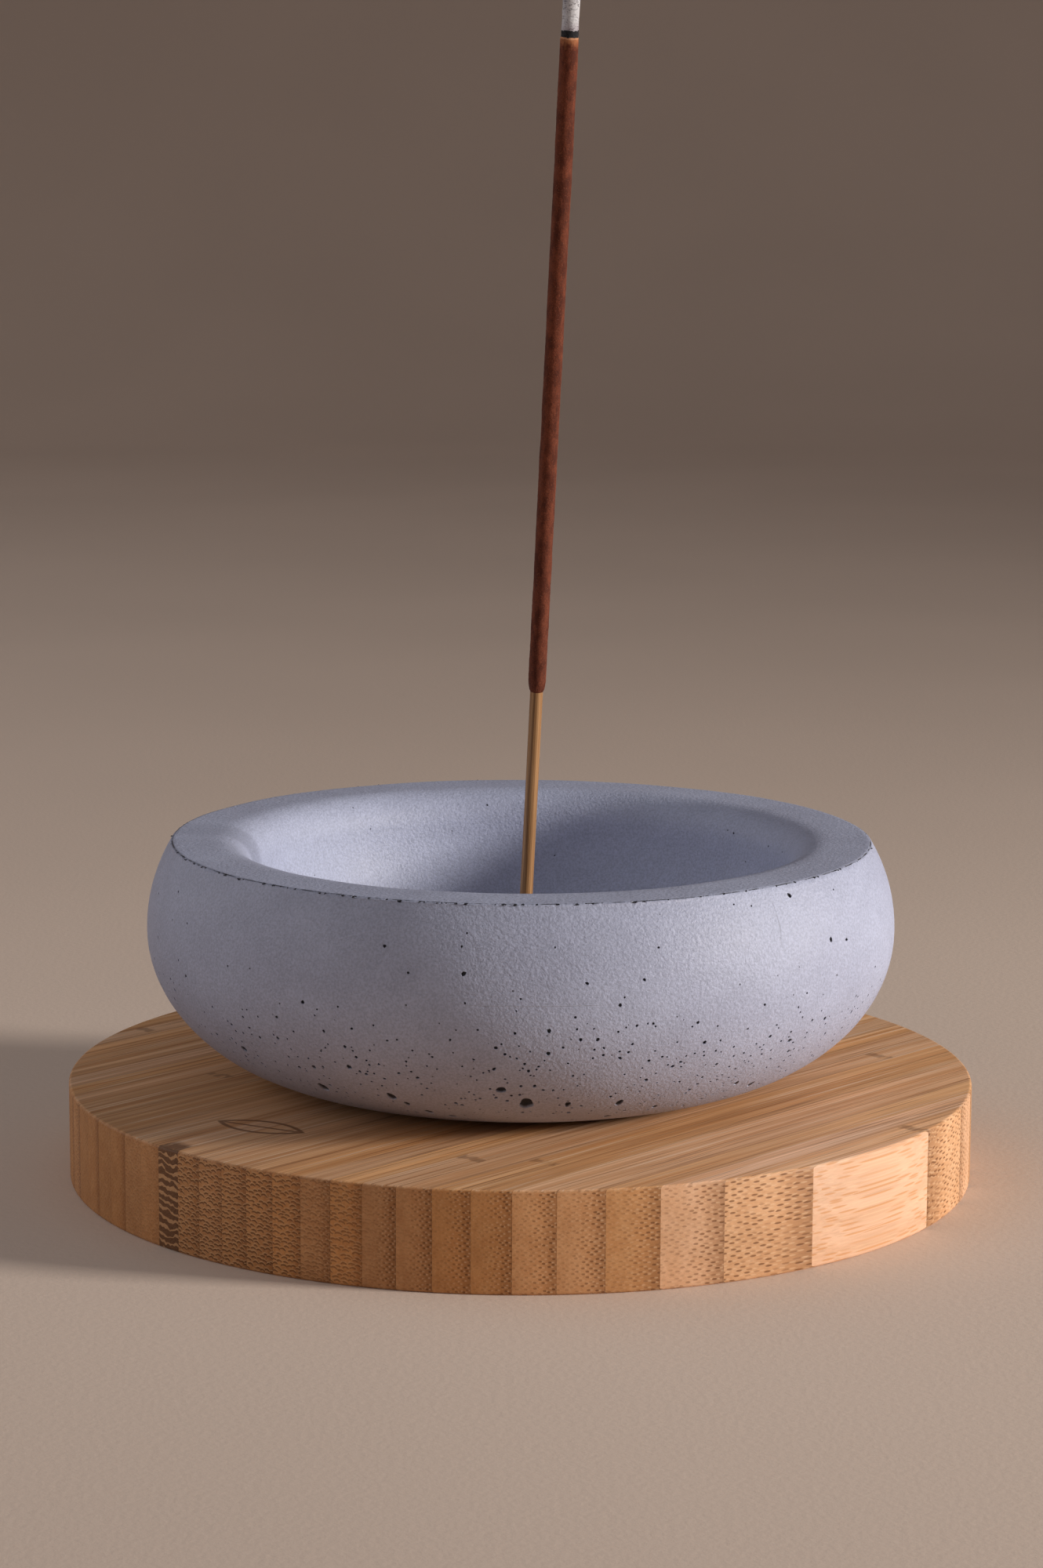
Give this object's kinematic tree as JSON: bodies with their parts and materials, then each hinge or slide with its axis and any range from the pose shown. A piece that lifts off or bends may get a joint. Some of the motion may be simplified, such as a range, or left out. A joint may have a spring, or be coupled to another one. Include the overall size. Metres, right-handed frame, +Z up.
{
  "type": "incense burner",
  "caption": "Round cast concrete bowl standing loose on a laminated bamboo disc, with a burning incense stick held at a lean in a bore in the bowl's floor.",
  "frame": {"origin": "centre of the tray's underside, on the surface that the burner stands on", "axes": "+Z up, -Y the front, towards which the stick leans, +X to the right seen from the front"},
  "size_m": [0.14, 0.14, 0.1837],
  "materials": {
    "bamboo": "satin",
    "concrete": "matte",
    "stick_bamboo": "matte",
    "incense_paste": "matte",
    "char": "matte",
    "ash": "matte"
  },
  "bodies": {
    "tray": {"bamboo_strip_01": "bamboo", "bamboo_strip_02": "bamboo", "bamboo_strip_03": "bamboo", "bamboo_strip_04": "bamboo", "bamboo_strip_05": "bamboo", "bamboo_strip_06": "bamboo", "bamboo_strip_07": "bamboo", "bamboo_strip_08": "bamboo", "bamboo_strip_09": "bamboo", "bamboo_strip_10": "bamboo", "bamboo_strip_11": "bamboo", "bamboo_strip_12": "bamboo", "bamboo_strip_13": "bamboo", "bamboo_strip_14": "bamboo", "bamboo_strip_15": "bamboo", "bamboo_strip_16": "bamboo", "bamboo_strip_17": "bamboo", "bamboo_strip_18": "bamboo", "bamboo_strip_19": "bamboo", "bamboo_strip_20": "bamboo", "bamboo_strip_21": "bamboo", "bamboo_strip_22": "bamboo", "bamboo_strip_23": "bamboo", "bamboo_strip_24": "bamboo", "bamboo_strip_25": "bamboo", "bamboo_strip_26": "bamboo", "bamboo_strip_27": "bamboo", "bamboo_strip_28": "bamboo", "bamboo_strip_29": "bamboo", "bamboo_strip_30": "bamboo", "bamboo_strip_31": "bamboo", "bamboo_strip_32": "bamboo", "bamboo_strip_33": "bamboo"},
    "bowl": {"concrete_bowl": "concrete"},
    "incense_stick": {"stick_core": "stick_bamboo", "incense_paste": "incense_paste", "char_ring": "char", "ash_column": "ash"}
  },
  "joints": [
    {"name": "bowl_lift", "type": "slide", "parent": "tray", "child": "bowl", "axis": [0, 0, 1], "range_m": [0, 0.06]},
    {"name": "stick_lift", "type": "slide", "parent": "bowl", "child": "incense_stick", "axis": [0.043, -0.1735, 0.9839], "range_m": [0, 0.05]}
  ]
}
